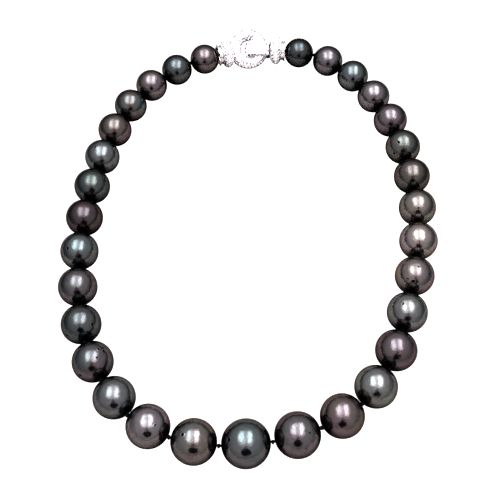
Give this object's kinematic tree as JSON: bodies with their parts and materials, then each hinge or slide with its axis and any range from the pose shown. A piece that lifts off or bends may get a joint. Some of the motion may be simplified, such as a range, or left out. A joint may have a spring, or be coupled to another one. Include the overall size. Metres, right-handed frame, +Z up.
{
  "type": "pearl necklace",
  "caption": "Knotted strand of graduated black pearls on silk, closed by a pave-set ring and a hinged hook, laid in an open oval.",
  "frame": {"origin": "on the table under the middle of the laid-out necklace", "axes": "+X to the hook's side of the clasp, +Y from the largest pearl at the front to the clasp at the back, +Z up from the table"},
  "size_m": [0.1256, 0.1734, 0.0142],
  "materials": {
    "nacre_green": "polished black nacre with a green overtone",
    "nacre_teal": "polished black nacre with a blue-green overtone",
    "nacre_aubergine": "polished black nacre with an aubergine overtone",
    "nacre_silver": "polished silver-grey nacre",
    "nacre_brown": "polished black nacre with a warm brown overtone",
    "nacre_mauve": "polished grey nacre with a rosy mauve overtone",
    "silk": "waxed black silk, knotted",
    "white_gold": "polished white gold, rhodium plated",
    "diamond": "brilliant-cut stones, pave set"
  },
  "bodies": {
    "ring_half": {"clasp_ring": "white_gold", "left_bell_cap": "white_gold", "left_cap_rim": "white_gold", "left_thread_bar": "white_gold", "left_bullion_coil": "white_gold", "silk_thread": "silk"},
    "hook_half": {"hook_body": "white_gold", "hinge_pin": "white_gold", "right_bell_cap": "white_gold", "right_cap_rim": "white_gold", "right_thread_bar": "white_gold", "right_bullion_coil": "white_gold"},
    "tongue": {"tongue": "white_gold"},
    "pearl_01": {"pearl_01": "nacre_aubergine"},
    "pearl_02": {"pearl_02": "nacre_green"},
    "pearl_03": {"pearl_03": "nacre_brown"},
    "pearl_04": {"pearl_04": "nacre_teal"},
    "pearl_05": {"pearl_05": "nacre_aubergine"},
    "pearl_06": {"pearl_06": "nacre_silver"},
    "pearl_07": {"pearl_07": "nacre_teal"},
    "pearl_08": {"pearl_08": "nacre_aubergine"},
    "pearl_09": {"pearl_09": "nacre_silver"},
    "pearl_10": {"pearl_10": "nacre_mauve"},
    "pearl_11": {"pearl_11": "nacre_teal"},
    "pearl_12": {"pearl_12": "nacre_aubergine"},
    "pearl_13": {"pearl_13": "nacre_green"},
    "pearl_14": {"pearl_14": "nacre_brown"},
    "pearl_15": {"pearl_15": "nacre_brown"},
    "pearl_16": {"pearl_16": "nacre_teal"},
    "pearl_17": {"pearl_17": "nacre_brown"},
    "pearl_18": {"pearl_18": "nacre_mauve"},
    "pearl_19": {"pearl_19": "nacre_silver"},
    "pearl_20": {"pearl_20": "nacre_aubergine"},
    "pearl_21": {"pearl_21": "nacre_silver"},
    "pearl_22": {"pearl_22": "nacre_mauve"},
    "pearl_23": {"pearl_23": "nacre_mauve"},
    "pearl_24": {"pearl_24": "nacre_silver"},
    "pearl_25": {"pearl_25": "nacre_brown"},
    "pearl_26": {"pearl_26": "nacre_teal"},
    "pearl_27": {"pearl_27": "nacre_mauve"},
    "pearl_28": {"pearl_28": "nacre_mauve"},
    "pearl_29": {"pearl_29": "nacre_teal"},
    "pearl_30": {"pearl_30": "nacre_mauve"},
    "pearl_31": {"pearl_31": "nacre_green"}
  },
  "joints": [
    {"name": "hook_swivel", "type": "hinge", "parent": "ring_half", "child": "hook_half", "pos_m": [-0.00109, 0.07999, 0.0056], "axis": [0.04, -0.5722, 0.8192], "range_deg": [0, 40]},
    {"name": "tongue_hinge", "type": "hinge", "parent": "hook_half", "child": "tongue", "pos_m": [0.00634, 0.07798, 0.00774], "axis": [0.0573, 0.8198, 0.5698], "range_deg": [0, 60]},
    {"name": "knot_00", "type": "hinge", "parent": "ring_half", "child": "pearl_01", "pos_m": [-0.01247, 0.07651, 0.0056], "axis": [0.3666, -0.9304, 0], "range_deg": [-10, 10], "deforming": ["silk_thread"]},
    {"name": "knot_01", "type": "hinge", "parent": "pearl_01", "child": "pearl_02", "pos_m": [-0.02359, 0.07213, 0.00566], "axis": [0, 0, -1], "range_deg": [0, 30], "deforming": ["silk_thread"]},
    {"name": "knot_02", "type": "hinge", "parent": "pearl_02", "child": "pearl_03", "pos_m": [-0.03342, 0.06481, 0.00579], "axis": [-0.6694, 0.7429, 0], "range_deg": [-20, 20], "deforming": ["silk_thread"]},
    {"name": "knot_03", "type": "hinge", "parent": "pearl_03", "child": "pearl_04", "pos_m": [-0.04188, 0.05561, 0.00589], "axis": [0, 0, -1], "range_deg": [0, 30], "deforming": ["silk_thread"]},
    {"name": "knot_04", "type": "hinge", "parent": "pearl_04", "child": "pearl_05", "pos_m": [-0.04756, 0.04422, 0.00598], "axis": [0.9274, -0.3741, 0], "range_deg": [-20, 20], "deforming": ["silk_thread"]},
    {"name": "knot_05", "type": "hinge", "parent": "pearl_05", "child": "pearl_06", "pos_m": [-0.05144, 0.03187, 0.00606], "axis": [0, 0, -1], "range_deg": [0, 30], "deforming": ["silk_thread"]},
    {"name": "knot_06", "type": "hinge", "parent": "pearl_06", "child": "pearl_07", "pos_m": [-0.05423, 0.01906, 0.00612], "axis": [-0.9859, 0.1672, 0], "range_deg": [-20, 20], "deforming": ["silk_thread"]},
    {"name": "knot_07", "type": "hinge", "parent": "pearl_07", "child": "pearl_08", "pos_m": [-0.05584, 0.0059, 0.00617], "axis": [0, 0, -1], "range_deg": [0, 30], "deforming": ["silk_thread"]},
    {"name": "knot_08", "type": "hinge", "parent": "pearl_08", "child": "pearl_09", "pos_m": [-0.05661, -0.00747, 0.00621], "axis": [0.9999, -0.0136, 0], "range_deg": [-20, 20], "deforming": ["silk_thread"]},
    {"name": "knot_09", "type": "hinge", "parent": "pearl_09", "child": "pearl_10", "pos_m": [-0.0562, -0.02094, 0.00624], "axis": [0, 0, -1], "range_deg": [0, 30], "deforming": ["silk_thread"]},
    {"name": "knot_10", "type": "hinge", "parent": "pearl_10", "child": "pearl_11", "pos_m": [-0.05462, -0.03442, 0.00627], "axis": [-0.982, -0.1891, 0], "range_deg": [-20, 20], "deforming": ["silk_thread"]},
    {"name": "knot_11", "type": "hinge", "parent": "pearl_11", "child": "pearl_12", "pos_m": [-0.05106, -0.04759, 0.0063], "axis": [0, 0, -1], "range_deg": [0, 30], "deforming": ["silk_thread"]},
    {"name": "knot_12", "type": "hinge", "parent": "pearl_12", "child": "pearl_13", "pos_m": [-0.04473, -0.0598, 0.00635], "axis": [0.8374, 0.5465, 0], "range_deg": [-20, 20], "deforming": ["silk_thread"]},
    {"name": "knot_13", "type": "hinge", "parent": "pearl_13", "child": "pearl_14", "pos_m": [-0.03603, -0.0706, 0.00643], "axis": [0, 0, -1], "range_deg": [0, 30], "deforming": ["silk_thread"]},
    {"name": "knot_14", "type": "hinge", "parent": "pearl_14", "child": "pearl_15", "pos_m": [-0.02369, -0.07735, 0.0066], "axis": [-0.3311, -0.9436, 0], "range_deg": [-20, 20], "deforming": ["silk_thread"]},
    {"name": "knot_31", "type": "hinge", "parent": "hook_half", "child": "pearl_31", "pos_m": [0.01277, 0.07902, 0.0056], "axis": [-0.2147, -0.9767, 0], "range_deg": [-10, 10], "deforming": ["silk_thread"]},
    {"name": "knot_30", "type": "hinge", "parent": "pearl_31", "child": "pearl_30", "pos_m": [0.02445, 0.07645, 0.00568], "axis": [0, 0, 1], "range_deg": [0, 30], "deforming": ["silk_thread"]},
    {"name": "knot_29", "type": "hinge", "parent": "pearl_30", "child": "pearl_29", "pos_m": [0.03478, 0.06993, 0.00581], "axis": [0.6673, 0.7448, 0], "range_deg": [-20, 20], "deforming": ["silk_thread"]},
    {"name": "knot_28", "type": "hinge", "parent": "pearl_29", "child": "pearl_28", "pos_m": [0.04262, 0.06009, 0.00594], "axis": [0, 0, 1], "range_deg": [0, 30], "deforming": ["silk_thread"]},
    {"name": "knot_27", "type": "hinge", "parent": "pearl_28", "child": "pearl_27", "pos_m": [0.04884, 0.04886, 0.00604], "axis": [-0.916, -0.4011, 0], "range_deg": [-20, 20], "deforming": ["silk_thread"]},
    {"name": "knot_26", "type": "hinge", "parent": "pearl_27", "child": "pearl_26", "pos_m": [0.05294, 0.03646, 0.00612], "axis": [0, 0, 1], "range_deg": [0, 30], "deforming": ["silk_thread"]},
    {"name": "knot_25", "type": "hinge", "parent": "pearl_26", "child": "pearl_25", "pos_m": [0.05537, 0.02343, 0.00619], "axis": [0.9908, 0.135, 0], "range_deg": [-20, 20], "deforming": ["silk_thread"]},
    {"name": "knot_24", "type": "hinge", "parent": "pearl_25", "child": "pearl_24", "pos_m": [0.05652, 0.01007, 0.00625], "axis": [0, 0, 1], "range_deg": [0, 30], "deforming": ["silk_thread"]},
    {"name": "knot_23", "type": "hinge", "parent": "pearl_24", "child": "pearl_23", "pos_m": [0.0562, -0.00347, 0.0063], "axis": [-0.9962, 0.0873, 0], "range_deg": [-20, 20], "deforming": ["silk_thread"]},
    {"name": "knot_22", "type": "hinge", "parent": "pearl_23", "child": "pearl_22", "pos_m": [0.05415, -0.01698, 0.00634], "axis": [0, 0, 1], "range_deg": [0, 30], "deforming": ["silk_thread"]},
    {"name": "knot_21", "type": "hinge", "parent": "pearl_22", "child": "pearl_21", "pos_m": [0.05071, -0.0303, 0.00637], "axis": [0.9619, -0.2735, 0], "range_deg": [-20, 20], "deforming": ["silk_thread"]},
    {"name": "knot_20", "type": "hinge", "parent": "pearl_21", "child": "pearl_20", "pos_m": [0.04659, -0.04353, 0.0064], "axis": [0, 0, 1], "range_deg": [0, 30], "deforming": ["silk_thread"]},
    {"name": "knot_19", "type": "hinge", "parent": "pearl_20", "child": "pearl_19", "pos_m": [0.04122, -0.05639, 0.00644], "axis": [-0.8566, 0.5159, 0], "range_deg": [-20, 20], "deforming": ["silk_thread"]},
    {"name": "knot_18", "type": "hinge", "parent": "pearl_19", "child": "pearl_18", "pos_m": [0.03232, -0.06721, 0.00652], "axis": [0, 0, 1], "range_deg": [0, 30], "deforming": ["silk_thread"]},
    {"name": "knot_17", "type": "hinge", "parent": "pearl_18", "child": "pearl_17", "pos_m": [0.02012, -0.07459, 0.00666], "axis": [0.4029, -0.9153, 0], "range_deg": [-20, 20], "deforming": ["silk_thread"]},
    {"name": "knot_16", "type": "hinge", "parent": "pearl_17", "child": "pearl_16", "pos_m": [0.00604, -0.07872, 0.00692], "axis": [0, 0, 1], "range_deg": [0, 30], "deforming": ["silk_thread"]}
  ]
}
